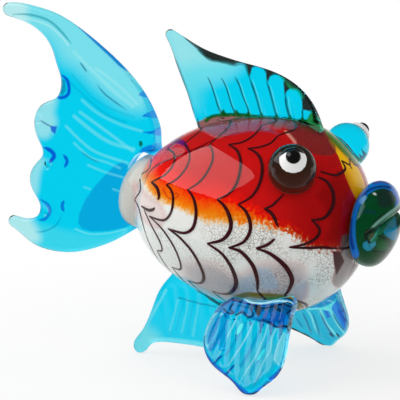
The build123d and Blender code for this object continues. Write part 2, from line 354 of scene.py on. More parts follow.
# Value from low..high mapped smoothly to bottom..top
def spread(nodes, links, value, low, high, bottom=0.0, top=1.0):
    node = nodes.new("ShaderNodeMapRange")
    node.interpolation_type = "SMOOTHSTEP"
    links.new(value, node.inputs["Value"])
    node.inputs["From Min"].default_value = low
    node.inputs["From Max"].default_value = high
    node.inputs["To Min"].default_value = bottom
    node.inputs["To Max"].default_value = top
    return node.outputs[0]


def blendColours(nodes, links, factor, first, second):
    node = nodes.new("ShaderNodeMix")
    node.data_type = "RGBA"
    for socket, value in ((node.inputs[0], factor), (node.inputs[6], first), (node.inputs[7], second)):
        if isinstance(value, (int, float)):
            socket.default_value = value
        elif isinstance(value, tuple):
            socket.default_value = (*value, 1.0)
        else:
            links.new(value, socket)
    return node.outputs[2]


def newGroup(name, inputs, outputs):
    group = bpy.data.node_groups.new(name, "ShaderNodeTree")
    for label, kind, value in inputs:
        socket = group.interface.new_socket(name=label, in_out="INPUT", socket_type=kind)
        if value is not None:
            socket.default_value = value
    for label, kind in outputs:
        group.interface.new_socket(name=label, in_out="OUTPUT", socket_type=kind)
    start = group.nodes.new("NodeGroupInput")
    end = group.nodes.new("NodeGroupOutput")
    return group, group.nodes, group.links, start.outputs, end.inputs


def useGroup(nodes, links, group, **values):
    node = nodes.new("ShaderNodeGroup")
    node.node_tree = group
    for key, value in values.items():
        if isinstance(value, (int, float)):
            node.inputs[key].default_value = value
        else:
            links.new(value, node.inputs[key])
    return node.outputs


# Station along the body's axis and angle from the crown, in millimetres and degrees
def buildEggCoordinates():
    group, nodes, links, start, end = newGroup(
        "eggCoordinates", [("Point", "NodeSocketVector", None)],
        [("Station", "NodeSocketFloat"), ("Height", "NodeSocketFloat"), ("Angle", "NodeSocketFloat")])
    shift = nodes.new("ShaderNodeVectorMath")
    shift.operation = "SUBTRACT"
    links.new(start["Point"], shift.inputs[0])
    shift.inputs[1].default_value = (widestX, 0, body["height"] * mm)
    grow = nodes.new("ShaderNodeVectorMath")
    grow.operation = "SCALE"
    grow.inputs["Scale"].default_value = 1 / mm
    links.new(shift.outputs[0], grow.inputs[0])
    turn = nodes.new("ShaderNodeVectorRotate")
    turn.rotation_type = "Y_AXIS"
    turn.inputs["Angle"].default_value = -math.radians(body["dip"])
    links.new(grow.outputs[0], turn.inputs["Vector"])
    parts = nodes.new("ShaderNodeSeparateXYZ")
    links.new(turn.outputs[0], parts.inputs[0])
    links.new(parts.outputs["X"], end["Station"])
    links.new(parts.outputs["Z"], end["Height"])
    away = maths(nodes, links, "ABSOLUTE", parts.outputs["Y"])
    angle = maths(nodes, links, "ARCTAN2", away, parts.outputs["Z"])
    links.new(maths(nodes, links, "DEGREES", angle), end["Angle"])
    return group


# Rounded ribs that fan out from a far focus
def buildFanRibs():
    group, nodes, links, start, end = newGroup(
        "fanRibs", [("Point", "NodeSocketVector", None), ("Focus X", "NodeSocketFloat", 0.0),
                    ("Focus Z", "NodeSocketFloat", 0.0), ("Ribs per radian", "NodeSocketFloat", 30.0),
                    ("Waver", "NodeSocketFloat", 0.3)],
        [("Height", "NodeSocketFloat")])
    parts = nodes.new("ShaderNodeSeparateXYZ")
    links.new(start["Point"], parts.inputs[0])
    along = maths(nodes, links, "SUBTRACT", parts.outputs["X"], start["Focus X"])
    up = maths(nodes, links, "SUBTRACT", parts.outputs["Z"], start["Focus Z"])
    angle = maths(nodes, links, "ARCTAN2", along, up)
    uneven = noise(nodes, links, start["Point"], 28.0, 1.0)
    uneven = maths(nodes, links, "SUBTRACT", uneven[0], 0.5)
    waver = maths(nodes, links, "MULTIPLY", uneven, start["Waver"])
    phase = maths(nodes, links, "MULTIPLY_ADD", angle, start["Ribs per radian"], waver)
    inRib = maths(nodes, links, "SUBTRACT", maths(nodes, links, "FRACT", phase), 0.5)
    inRib = maths(nodes, links, "ABSOLUTE", inRib)
    links.new(maths(nodes, links, "SINE", maths(nodes, links, "MULTIPLY", inRib, math.pi)), end["Height"])
    return group


eggCoordinates = buildEggCoordinates()
fanRibs = buildFanRibs()


# Body: an opaque egg that carries the colours, inside a clear casing with the tail's neck
def eggMesh(name, inset):
    radius = (body["radius"] - inset) * mm
    bpy.ops.mesh.primitive_uv_sphere_add(segments=body["segments"], ring_count=body["rings"], radius=radius,
                                         rotation=(0, math.pi / 2, 0))
    egg = settle(bpy.context.object)
    egg.name = name
    for sign, length in ((1, body["noseLength"]), (-1, body["rumpLength"])):
        bpy.ops.object.mode_set(mode="EDIT")
        bpy.ops.mesh.select_all(action="DESELECT")
        bpy.ops.object.mode_set(mode="OBJECT")
        for point in egg.data.vertices:
            point.select = point.co.x * sign > 1e-6
        bpy.ops.object.mode_set(mode="EDIT")
        bpy.ops.transform.resize(value=((length - inset) * mm / radius, 1, 1), center_override=(0, 0, 0))
        bpy.ops.object.mode_set(mode="OBJECT")
    return settle(egg, bodyPlace)


colours = {
    "inset": 3.0,
    "neckInset": 5.0,
    "neck": shade(208, 205, 198),
    "silver": shade(252, 255, 252),
    "silverShade": shade(130, 116, 96),
    # painted reflection of the turquoise fins on the lower belly
    "reflectedFinBlue": shade(84, 190, 212),
    "cream": shade(255, 196, 60),
    "orange": shade(255, 132, 4),
    "brightRed": shade(255, 24, 4),
    "red": shade(214, 20, 20),
    "darkRed": shade(170, 8, 12),
    "amber": shade(255, 200, 8),
    "edge": [(-72, 14.5), (-50, 7.5), (-25, 3.4), (0, 4.5), (13, 4.5), (30, -6), (44, -12)],
    "edgeStart": -80.0,       # stations and heights that the edge's ramp spans
    "edgeSpan": 128.0,
    "edgeLow": -20.0,
    "edgeRise": 40.0,
}

bodyMarks = {
    "crackLine": line((108, 2, 10), 1.8, 1.0, 147, 185, 153, 173, 163, 165, 175, 160, 190, 154, 205, 147,
        220, 140, 240, 137, ends=(0, 0)),
    "crackLineAgain": line((104, 2, 10), 2.2, 0.9, 194, 153, 204, 149, 216, 147, ends=(0, 0)),
    "rumpCrescent": line((104, 8, 116), 5.0, 1.0, 149, 158, 160, 149, 170, 145, 180, 144.5, 187, 147,
        190, 154, ends=(0.3, 0.1)),
    "rootBrown": patch((104, 66, 62), 3, 0.85, 194, 126, 214, 116, 246, 112, 290, 116, 326, 128, 320, 132,
        300, 128, 278, 131, 262, 126, 245, 124, 222, 125, 203, 131),
    "rootGlow": patch((130, 62, 92), 2.5, 0.85, 203, 130, 222, 125, 245, 124, 262, 126, 281, 138, 268, 135,
        250, 135, 232, 138, 215, 138),
    "rootArc": line((70, 20, 90), 1.2, 0.6, 202, 128, 212, 137, 222, 137, 232, 132),
    "foreheadRoot": patch((92, 40, 40), 1.6, 0.85, 285, 130, 300, 127, 318, 130, 329, 140, 334, 152,
        331, 157, 318, 157, 306, 152, 297, 146, 290, 139),
    "pinkGlint": line((236, 168, 150), 3.0, 0.8, 284, 133, 290, 139, 296, 146, ends=(0.2, 0.2)),
    "flare": line((224, 24, 4), 1.6, 0.7, 165, 190, 170, 198, 176, 199, 180, 195, 172, 193),
    "oliveCrown": line((66, 128, 10), 9.0, 1.0, 326, 133, 336, 145, 348, 157, 358, 166, ends=(1, 1),
        soft=3),
    # painted shade over the cheek, below and before the eye
    "paintedCheekShade": patch((120, 0, 2), 14, 0.75, 312, 196, 338, 170, 352, 196, 356, 244, 336, 247, 322, 240,
        326, 220),
    "blueSheen": patch((72, 180, 190), 16, 0.5, 186, 262, 214, 262, 238, 274, 262, 262, 300, 264, 300, 286,
        262, 298, 216, 296, 190, 280),
    "sheenA": patch((84, 168, 216), 6, 0.6, 240, 276, 254, 274, 257, 290, 243, 293),
    "sheenB": patch((84, 168, 220), 6, 0.6, 257, 266, 271, 269, 278, 285, 262, 286),
    "sheenC": patch((84, 172, 216), 6, 0.55, 292, 286, 306, 278, 306, 294, 296, 299),
    "oliveRing": line((134, 124, 24), 5.0, 1.0, 238, 294, 248, 292, 262, 293, 280, 294, 292, 297, 300, 303,
        soft=1.4),
    "oliveGreen": patch((104, 150, 16), 1.4, 1.0, 264, 294, 284, 294, 286, 298, 264, 299),
    "oliveBlack": line((14, 22, 14), 1.8, 1.0, 240, 296, 250, 301, 262, 300.5, 276, 299, 290, 300,
        298, 305),
    "rearShine": patch((250, 249, 246), 8, 0.8, 136, 184, 150, 195, 166, 212, 162, 226, 150, 222,
        140, 208),
}


# Scales of the crackled leaf's patterns, and of the broad patches of painted reflection low on the belly
crackle = {
    "cells": 560.0,
    "wobble": 190.0,
    "wander": 0.004,
    "patches": 60.0,
    "broad": 22.0,
    "specks": 620.0,
}


def bodyPaint():
    material, nodes, links, shader = freshMaterial("bodyColours")
    where = nodes.new("ShaderNodeTexCoord").outputs["Object"]
    place = useGroup(nodes, links, eggCoordinates, Point=where)

    # crackled silver leaf
    cells = nodes.new("ShaderNodeTexVoronoi")
    cells.feature = "DISTANCE_TO_EDGE"
    cells.inputs["Scale"].default_value = crackle["cells"]
    wobble = noise(nodes, links, where, crackle["wobble"], 4.0)
    jitter = nodes.new("ShaderNodeVectorMath")
    jitter.operation = "MULTIPLY_ADD"
    links.new(wobble["Color"], jitter.inputs[0])
    jitter.inputs[1].default_value = (crackle["wander"],) * 3
    links.new(where, jitter.inputs[2])
    links.new(jitter.outputs[0], cells.inputs["Vector"])
    crack = spread(nodes, links, cells.outputs["Distance"], 0.0, 0.11, 1.0, 0.0)
    patches = noise(nodes, links, where, crackle["patches"], 5.0)
    forward = spread(nodes, links, place["Station"], -40.0, 20.0, 0.3, 0.9)
    patchy = maths(nodes, links, "MULTIPLY", spread(nodes, links, patches[0], 0.3, 0.62), forward)
    silver = blendColours(nodes, links, maths(nodes, links, "MULTIPLY", crack, patchy), colours["silver"],
                          colours["silverShade"])
    # Broad patches low on the belly take the blue of a painted reflection of the turquoise fins
    broad = spread(nodes, links, noise(nodes, links, where, crackle["broad"])[0], 0.36, 0.6, 0.0, 0.4)
    reflectedFins = maths(nodes, links, "MULTIPLY", spread(nodes, links, place["Height"], -14.0, -30.0), broad)
    silver = blendColours(nodes, links, reflectedFins, silver, colours["reflectedFinBlue"])
    specks = noise(nodes, links, where, crackle["specks"], 3.0)

    # height above the red edge, broken up a little
    edge = ramp(nodes, [((station - colours["edgeStart"]) / colours["edgeSpan"],
                         ((height - colours["edgeLow"]) / colours["edgeRise"],) * 3)
                        for station, height in colours["edge"]])
    links.new(maths(nodes, links, "MULTIPLY_ADD", place["Station"], 1 / colours["edgeSpan"],
                    -colours["edgeStart"] / colours["edgeSpan"]), edge.inputs[0])
    edge = maths(nodes, links, "MULTIPLY_ADD", edge.outputs[0], colours["edgeRise"], colours["edgeLow"])
    above = maths(nodes, links, "SUBTRACT", place["Height"], edge)
    ragged = maths(nodes, links, "MULTIPLY_ADD", patches[0], 8.0, -4.0)
    above = maths(nodes, links, "ADD", above, ragged)
    fine = maths(nodes, links, "MULTIPLY", maths(nodes, links, "SUBTRACT", specks[0], 0.5),
                 spread(nodes, links, place["Station"], -20.0, 20.0, 6.0, 15.0))
    above = maths(nodes, links, "ADD", above, fine)
    fade = ramp(nodes, [(0.0, colours["cream"]), (0.16, colours["orange"]), (0.44, colours["brightRed"]),
                        (0.8, colours["red"]), (1.0, colours["red"])])
    reachUp = spread(nodes, links, place["Station"], -20.0, 20.0, 26.0, 10.0)
    links.new(maths(nodes, links, "DIVIDE", maths(nodes, links, "ADD", above, 1.0), reachUp, clamp=True),
              fade.inputs[0])
    # Deeper red towards the crown, and towards the front, where it is painted shade
    dark = maths(nodes, links, "MAXIMUM", spread(nodes, links, place["Height"], 24.0, 50.0, 0.0, 0.6),
                 spread(nodes, links, place["Station"], 8.0, 34.0, 0.0, 0.8))
    red = blendColours(nodes, links, dark, fade.outputs[0], colours["darkRed"])
    paintNow = blendColours(nodes, links, spread(nodes, links, above, -2.5, 1.5), silver, red)

    # amber on the forehead and along the crown
    reach = maths(nodes, links, "ADD", spread(nodes, links, place["Station"], 18.0, 28.0, -6.0, 6.0),
                  spread(nodes, links, place["Station"], 28.0, 42.0, 0.0, 20.0))
    inAmber = maths(nodes, links, "SUBTRACT", reach, place["Angle"])
    amber = maths(nodes, links, "MULTIPLY", spread(nodes, links, inAmber, -0.7, 0.7),
                  spread(nodes, links, place["Height"], 12.0, 14.0))
    paintNow = blendColours(nodes, links, amber, paintNow, colours["amber"])
    neck = spread(nodes, links, place["Station"], -67.0, -73.0)
    paintNow = blendColours(nodes, links, neck, paintNow, colours["neck"])
    mark = paintedTint(nodes)
    paintNow = blendColours(nodes, links, mark["Alpha"], paintNow, mark["Color"])
    links.new(paintNow, shader.inputs["Base Color"])
    shader.inputs["Roughness"].default_value = 0.5
    shader.inputs["Specular IOR Level"].default_value = 0.0
    bump = nodes.new("ShaderNodeBump")
    bump.inputs["Strength"].default_value = 0.4
    bump.inputs["Distance"].default_value = 0.0005
    links.new(cells.outputs["Distance"], bump.inputs["Height"])
    links.new(bump.outputs[0], shader.inputs["Normal"])
    return material


def clearGlass():
    material, nodes, links, shader = freshMaterial("clearCasing")
    shader.inputs["Base Color"].default_value = (0.97, 0.99, 0.99, 1.0)
    shader.inputs["Roughness"].default_value = 0.0
    shader.inputs["IOR"].default_value = refraction
    shader.inputs["Transmission Weight"].default_value = 1.0
    return material


def neckPad(inset):
    bpy.ops.mesh.primitive_uv_sphere_add(segments=64, ring_count=48,
                                         radius=body["neckRadius"] * mm - inset * mm,
                                         location=(-body["neckReach"] * mm, 0, body["neckRise"] * mm),
                                         rotation=(0, math.radians(body["neckTilt"]), 0),
                                         scale=(body["neckThickness"] / 2 / body["neckRadius"], 1, 1))
    return settle(bpy.context.object, bodyPlace)


def joined(first, second):
    finishWith(first, "BOOLEAN", operation="UNION", object=second, solver="EXACT")
    bpy.data.objects.remove(second)
    return first


def makeBody():
    coloursPiece = joined(eggMesh("bodyColours", colours["inset"]), neckPad(colours["neckInset"]))
    finishWith(coloursPiece, "REMESH", mode="VOXEL", voxel_size=body["paintVoxel"] * mm)
    finishWith(coloursPiece, "SMOOTH", factor=0.5, iterations=60)
    smoothShade(wear(coloursPiece, bodyPaint()))
    paint(coloursPiece, colours["red"], {**bodyMarks, **throatMarks}, mirrored=True)
    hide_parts("glass_core", "silver_leaf", "red_overlay", "amber_overlay")
    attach(coloursPiece, "root")

    casing = joined(eggMesh("clearBody", 0), neckPad(0))
    finishWith(casing, "REMESH", mode="VOXEL", voxel_size=body["voxel"] * mm)
    finishWith(casing, "SMOOTH", factor=0.5, iterations=40)
    smoothShade(wear(casing, clearGlass()))
    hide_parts("clear_casing")
    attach(casing, "root")
    print("body done:", len(casing.data.polygons), "faces")


# Threads wound round the body and combed into scallops. Each scallop is its greatest width and the
# places that it runs through, in pixels of the photograph. The left side is the right side mirrored
threads = {
    "inset": 2.7,
    "thinnest": 0.30,
    "pixel": 0.53,            # size of a pixel on the body
    "steps": 5,
    "fold": 5.0,              # how far a scallop bulges where two sides meet
}
threadScallops = {
    "rump": [
        (2.2, 146, 158, 151, 163, 147, 171, 137, 179),
        (2.4, 137, 179, 140.5, 186, 139, 193, 134, 199),
        (2.0, 134, 199, 138, 206, 141.5, 219, 146, 235),
    ],
    "rumpHook": [
        (3.0, 141, 206, 148, 210, 153, 209.5, 154.5, 207.5),
    ],
    "second": [
        (2.4, 167, 149, 174.5, 155, 172.9, 165, 164.6, 175, 151, 182),
        (3.6, 151, 182, 157, 188, 159, 196, 157.5, 199.5),
    ],
    "secondLow": [
        (2.2, 144, 210, 151, 225, 159, 240, 162, 250, 157, 250.5),
    ],
    "third": [
        (2.4, 184, 144, 189.5, 152, 187.6, 165, 178, 178, 166, 185),
        (2.8, 166, 185, 171, 190, 173, 199, 171, 212, 163.4, 220.3, 149, 216),
        (2.4, 149, 216, 162, 229, 173.6, 246.5, 180, 262, 180, 269.5, 172, 267),
    ],
    "fourth": [
        (2.4, 209, 145, 212.7, 152, 212, 162, 206, 174, 198, 183, 187.6, 189.7),
        (3.4, 187.6, 189.7, 193.3, 198, 196, 212, 193.3, 227, 184, 233, 167.8, 228.6),
        (3.4, 167.8, 228.6, 180, 238, 193, 253, 201.6, 269.4, 203.6, 279, 199, 283.5, 188, 280.5),
    ],
    "fifth": [
        (2.2, 262, 125, 255, 134, 242.5, 142, 228.4, 144.4),
        (3.0, 228.4, 144.4, 237.4, 151, 240.7, 164, 237.4, 181, 229.7, 193, 217, 199.3),
        (4.2, 217, 199.3, 225, 207, 230.5, 220, 229.7, 231, 222, 240, 207, 243.5),
        (4.2, 207, 243.5, 222, 254, 232.3, 269.5, 236, 283.5, 231, 292.4, 222, 294, 212, 291),
    ],
    "sixth": [
        (2.0, 278, 135.5, 270.5, 143, 259, 147, 247.6, 148.3),
        (3.0, 247.6, 148.3, 257, 153.4, 262, 165, 260.3, 181, 252, 196, 238, 204.4),
        (3.6, 238, 204.4, 245.5, 211, 250, 222, 249.5, 233, 242.5, 242.7, 228.4, 247.8),
        (4.0, 228.4, 247.8, 241, 252, 252.7, 265.6, 257.3, 280, 257.3, 291),
    ],
    "seventh": [
        (2.2, 283.9, 194.2, 277, 201, 271.8, 205.7, 264.1, 208.9),
        (3.4, 264.1, 208.9, 270, 212, 274.5, 218, 278, 227),
    ],
    "seventhLow": [
        (3.0, 275, 238.8, 266.7, 245.2, 255.9, 248.4),
        (4.4, 255.9, 248.4, 270.5, 254, 284.6, 265.6, 292, 279, 289, 290, 284.6, 295),
    ],
    "forehead": [
        (1.8, 355, 168, 348, 164, 341.5, 160.4),
        (2.6, 341.5, 160.4, 345.5, 168.5, 340, 173.5, 333, 175, 320.5, 171.5),
    ],
    "cheek": [
        (3.8, 318, 177, 327.5, 182, 333.3, 193, 332.8, 206, 324.7, 217.7, 311.5, 219.9),
        (3.0, 311.5, 219.9, 317.5, 225.5, 319.8, 231, 316, 238.2, 305.6, 244, 289, 247.3),
        (2.6, 289, 247.3, 308, 248, 324, 247.5, 339, 248),
    ],
}
throatMarks = {
    "throatDark": patch((92, 98, 92), 1.6, 0.9, 340, 235, 349, 234, 350, 248, 344, 252, 338, 252),
    "clearThroat": patch((150, 152, 152), 2.0, 0.9, 340, 252, 347, 240, 350, 262, 346, 272, 337, 284,
        330, 278),
    "brownWedge": patch((78, 40, 38), 1.0, 1.0, 331, 250, 338, 250, 341, 257, 342, 260, 334, 274,
        332, 262),
    "brownSide": patch((88, 56, 50), 1.5, 0.95, 350, 261, 360, 264, 350, 278, 338, 285, 345, 272),
}


def radiusAt(station, inset):
    reach = body["noseLength"] if station > 0 else body["rumpLength"]
    return (body["radius"] - inset) * math.sqrt(max(0.0, 1 - (station / (reach - inset)) ** 2))


# Where a line of sight meets the egg or passes nearest to it, and the egg's normal there
def eggHit(origin, sight, inset):
    for side, reach in ((1, body["noseLength"]), (-1, body["rumpLength"])):
        size = np.array([reach, body["radius"], body["radius"]]) - inset
        start, run = origin / size, sight / size
        half, square = start @ run, run @ run
        under = max(0, half ** 2 - square * (start @ start - 1))
        place = start - run * (half + math.sqrt(under)) / square
        place /= max(1, np.linalg.norm(place))
        if place[0] * side >= 0:
            break
    normal = place / size
    return place * size, normal / np.linalg.norm(normal)


# Place along the body and angle from the crown of what a pixel shows under the clear glass
def underCasing(pixel):
    middle = camera["picture"] / 2
    scale = camera["lens"] / camera["sensor"] * camera["picture"]
    sight = cameraRight * (pixel[0] - middle) / scale + cameraUp * (middle - pixel[1]) / scale - toCamera
    turned = bodyPlace.inverted()
    origin = np.array(turned @ cameraPlace) / mm
    sight = np.array(turned.to_3x3() @ sight.normalized())
    place, normal = eggHit(origin, sight, 0)
    ratio = 1 / refraction
    facing = -normal @ sight
    bent = ratio * sight + (ratio * facing - math.sqrt(1 - ratio ** 2 * (1 - facing ** 2))) * normal
    place = eggHit(place, bent, threads["inset"])[0]
    return place[0], math.degrees(math.atan2(-place[1], place[2]))


# One scallop of thread under the casing, thick in its middle and thin where it meets the next
def layThread(wire, places, greatest):
    spline = wire.splines.new("POLY")
    spline.points.add(len(places) - 1)
    for turn, (point, (along, angle)) in enumerate(zip(spline.points, places)):
        radius = radiusAt(along, threads["inset"])
        around = math.radians(angle)
        place = Vector((along, -radius * math.sin(around), radius * math.cos(around))) * mm
        point.co = (*(bodyPlace @ place), 1.0)
        swell = math.sin(math.pi * turn / (len(places) - 1)) ** 0.7
        point.radius = threads["thinnest"] + (greatest / 2 * threads["pixel"] - threads["thinnest"]) * swell


def makeThreads():
    wire = bpy.data.curves.new("threads", "CURVE")
    wire.dimensions = "3D"
    wire.bevel_depth = mm
    wire.bevel_resolution = 2
    wire.use_fill_caps = True
    for scallops in threadScallops.values():
        runs = [(greatest, [(along, max(angle, 0)) for along, angle in
                            curved([underCasing(pixel) for pixel in pairs(numbers)], threads["steps"])])
                for greatest, *numbers in scallops]
        along, angle = runs[0][1][0]
        if angle < 50 and along < 25:
            fold = [(along, 0), (along + threads["fold"], angle / 2), (along, angle)]
            runs.insert(0, (2.0, curved(fold)))
        along, angle = runs[-1][1][-1]
        if angle > 110:
            fold = [(along, angle), (along + threads["fold"], (angle + 180) / 2), (along, 180)]
            runs.append((3.0, curved(fold)))
        for greatest, places in runs:
            for side in (1, -1):
                layThread(wire, [(along, side * angle) for along, angle in places], greatest)
    obj = bpy.data.objects.new("threads", wire)
    bpy.context.collection.objects.link(obj)
    pick(obj)
    bpy.ops.object.convert(target="MESH")
    obj = bpy.context.object
    smoothShade(wear(obj, embeddedGlass("threadGlass", (66, 20, 26), 0.5)))
    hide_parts("combed_threads")
    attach(obj, "root")
    print("threads done:", len(obj.data.polygons), "faces")


# Fins, tail and lips: melted copies of the solids, in turquoise glass
glassColours = {
    "pale": (132, 230, 240),
    "cyan": (0, 208, 240),
    "deep": (0, 165, 222),
    "blue": (0, 92, 212),
    "navy": (0, 52, 140),
    "teal": (10, 112, 150),
    "side": (0, 196, 230),
    "far": (0, 180, 214),
    "back": (120, 226, 240),
}
tailMarks = {
    "upperLobe": patch((124, 226, 238), 24, 0.95, 0, -4, 60, 0, 105, 36, 142, 80, 146, 108, 126, 108,
        100, 90, 78, 70, 62, 60, 46, 38, 18, 24),
    "upperTip": patch((188, 238, 240), 12, 0.9, -6, -4, 22, 0, 26, 24, 0, 26),
    "lowerLobe": patch((60, 216, 236), 9, 0.8, 6, 212, 40, 224, 70, 231, 92, 235, 112, 234, 134, 228,
        128, 244, 80, 258, 34, 248),
    "lowerTip": patch((180, 236, 238), 12, 0.9, 0, 208, 26, 214, 40, 240, 14, 240),
    "upperBump": patch((150, 228, 236), 10, 0.9, 28, 134, 30, 108, 44, 96, 56, 98, 54, 112, 56, 124,
        46, 138),
    "lowerBump": patch((150, 228, 236), 8, 0.85, 24, 192, 25, 166, 36, 157, 44, 160, 40, 174, 36, 196),
    "rootLens": patch((0, 166, 222), 1.4, 0.9, 115, 165, 104, 176, 94, 187, 85, 200, 79, 214, 78, 223,
        82, 229, 92, 231.5, 108, 231, 124, 228, 136, 222, 136, 176, 124, 161),
    "rootBlue": patch((0, 108, 216), 2, 0.85, 142, 148, 152, 144, 163, 142, 160, 150, 146, 156, 134, 166,
        130, 164),
    # The streaks are painted light and shade: pale lines, and two deeper cyan ones, where the tail's flutes
    # would refract the light
    "streakA": line((120, 230, 240), 3.2, 0.5, 74, 116, 95, 133, 112, 143, 134, 149, soft=2),
    "streakB": line((120, 230, 240), 2.6, 0.5, 80, 112, 98, 125, 117, 139, 133, 151, soft=2),
    "streakC": line((120, 230, 240), 2.6, 0.45, 82, 100, 98, 113, 120, 124, 142, 131, soft=2),
    "streakD": line((120, 230, 240), 2.4, 0.5, 66, 126, 82, 142, 98, 153, 128, 163, soft=1.6),
    "streakE": line((120, 230, 240), 2.0, 0.45, 74, 143, 90, 157, 106, 162, 120, 168, soft=1.6),
    "streakF": line((120, 230, 240), 2.0, 0.45, 88, 165, 105, 172, 126, 178, soft=1.4),
    "streakG": line((120, 230, 240), 1.8, 0.4, 84, 187, 90, 189, soft=1.4),
    "streakH": line((120, 230, 240), 1.8, 0.4, 113, 189, 121, 192, soft=1.4),
    "streakI": line((160, 238, 242), 3.0, 0.5, 74, 52, 95, 73, 115, 92, 133, 106, soft=3),
    "streakJ": line((160, 238, 242), 2.6, 0.5, 96, 68, 112, 80, 128, 94, 137, 104, soft=2.4),
    "streakK": line((0, 176, 214), 2.0, 0.6, 63, 76, 76, 88, 90, 101, 108, 115, 126, 122, soft=1.6),
    "streakL": line((0, 186, 220), 2.0, 0.5, 72, 74, 92, 97, 112, 109, 134, 117, soft=1.6),
    "crease": line((40, 166, 182), 2.4, 0.8, 10, 14, 30, 14.5, 48, 20, 60, 30, 71, 43, ends=(0, 0.3)),
    "creaseLight": line((178, 240, 244), 2.0, 0.6, 26, 18, 46, 24, 60, 35, 68, 45),
    "dashA": line(glassColours["teal"], 1.5, 0.9, 80, 62, 87, 72, ends=(0, 0)),
    "dashB": line(glassColours["teal"], 1.3, 0.9, 97, 84, 104, 93, 114, 101, 127, 110, ends=(0, 0)),
    "dashC": line(glassColours["teal"], 1.2, 0.7, 80, 151, 90, 158, 100, 163, ends=(0, 0)),
    "leadingEdge": line((0, 86, 200), 4.6, 1.0, 60, 11, 80, 26, 98, 43, 112, 56, 122, 66, 131, 74,
        ends=(0.1, 0)),
    "leadingLine": line((0, 86, 200), 3.2, 1.0, 130, 73, 138, 81, 147, 94, 156, 112, 163, 130, 164, 140),
    "toothA": patch(glassColours["blue"], 1, 0.95, 138, 95, 142, 91, 148, 90, 151, 98, 146, 98),
    "toothStrip": line(glassColours["blue"], 3.0, 0.95, 147, 97, 151, 105, 157, 117),
    "toothB": patch(glassColours["blue"], 1, 0.95, 142, 116, 148, 112, 157, 108, 160, 119, 150, 118),
    "toothC": patch(glassColours["blue"], 1, 0.95, 142, 132, 152, 131, 160, 126, 164, 138, 152, 134),
    "greenSpot": patch((0, 100, 84), 1, 0.95, 139, 141, 142, 141, 143, 144, 141, 147, 139, 145),
    "pinchA": line(glassColours["blue"], 3.2, 1.0, 61, 74, 67, 80, 69, 90, 66, 96, 59, 98,
        ends=(0.1, 0.6)),
    "pinchAFill": patch((0, 140, 180), 1.5, 0.8, 61, 78, 65, 80, 66, 90, 62, 96, 60, 90),
    "pinchB": line(glassColours["navy"], 1.3, 0.8, 40, 120, 48, 125, 53, 127, ends=(0, 1)),
    "pinchBSpot": patch(glassColours["blue"], 1.2, 0.9, 50, 126, 57, 126, 55, 134, 51, 131),
    "pinchC": line(glassColours["blue"], 4.0, 1.0, 44, 147, 51, 151, 54, 156, 50, 162, ends=(0.2, 0.5)),
    "pinchD": line(glassColours["blue"], 3.2, 0.95, 63, 154, 67, 161, 64, 168, ends=(0, 0)),
    "pinchE": line((0, 116, 214), 3.0, 0.9, 40, 199, 48, 205, 50, 212, 45, 219, 39, 220, ends=(0.2, 0.3)),
    "pinchF": line(glassColours["blue"], 3.2, 0.85, 64, 200, 62, 206, 64, 212, ends=(0, 0)),
    "lowerFold": line((0, 150, 190), 1.4, 0.7, 35, 232, 45, 231, 56, 225, 62, 214, ends=(0, 0)),
    "lowerShine": line((120, 230, 240), 1.4, 0.7, 75, 229, 90, 234, 110, 233, 126, 229),
    "lowerBlue": line((0, 108, 216), 2.4, 0.9, 118, 241, 128, 235, 136, 229),
}

dorsalMarks = {
    "paleTip": patch((150, 229, 236), 34, 1.0, 150, 10, 180, 18, 206, 44, 240, 58, 222, 72, 196, 80,
        180, 82, 168, 62),
    "tint": patch((96, 222, 236), 24, 0.8, 176, 70, 200, 62, 230, 66, 222, 78, 204, 84, 196, 108,
        188, 100),
    "rearEdge": line((50, 110, 120), 1.8, 0.95, 164, 36, 178, 66, 188, 94, 196, 124),
    "rim": patch((34, 44, 42), 1.0, 1.0, 176, 30, 192, 38, 205, 43, 232, 54, 262, 62, 284, 71, 308, 90,
        326, 116, 332, 132, 326, 130, 321, 122, 316, 117, 311, 112, 306, 110, 302.5, 110, 302, 101,
        299, 93, 295, 89, 290, 88.5, 287, 91, 284.5, 95, 284, 87, 283, 79, 280, 75.5, 274, 75, 270, 76.5,
        266.8, 83, 266, 74, 263, 68.5, 256, 66.5, 252, 68, 249.3, 77, 247, 68, 244, 64, 239, 63, 233, 64.5,
        222, 61.5, 212, 60, 205, 56, 198, 50, 188, 41.5),
    "rimTeal": line((0, 96, 96), 1.6, 0.8, 198, 50, 205, 56.5, 212, 60.5, 222, 62, 233, 65, 244, 65,
        249, 76),
    "rimGreen": line((30, 150, 84), 2.0, 0.8, 279, 75, 284, 80, 291, 88, 298, 91, 302, 98),
    "frontGreen": patch((26, 126, 26), 1.6, 0.95, 311, 111, 317, 117, 322, 123, 329, 136, 318, 131,
        304, 124, 308, 118),
    "baseRed": line((150, 84, 78), 8.0, 0.95, 192, 128, 206, 123, 218, 119.5, 236, 119, 256, 120, 276, 122,
        296, 125, 316, 130, soft=1.6),
    "baseViolet": line((60, 50, 110), 3.0, 0.6, 250, 121, 262, 124, 284, 124, 308, 127, soft=2),
    "baseGreen": line((4, 88, 18), 3.4, 0.95, 206, 121, 212, 116.5, 222, 115, 236, 114.5, 248, 115.5,
        262, 117, 276, 118.5, 290, 120, 306, 121),
}
dorsalRibs = [
    [207, 77, 211, 84, 215, 96, 219, 108, 224, 114],
    [221, 78, 226, 87, 230, 100, 233, 108, 237, 114],
    [235, 77, 239, 85, 243, 97, 248, 108, 249, 115],
    [249, 76, 253, 88, 257, 101, 260, 112, 262, 117],
    [266.5, 82, 269, 89, 272, 101, 275, 112, 277, 118],
    [285, 93, 286, 104, 288, 113, 290, 120],
    [302.5, 109, 303, 121],
]
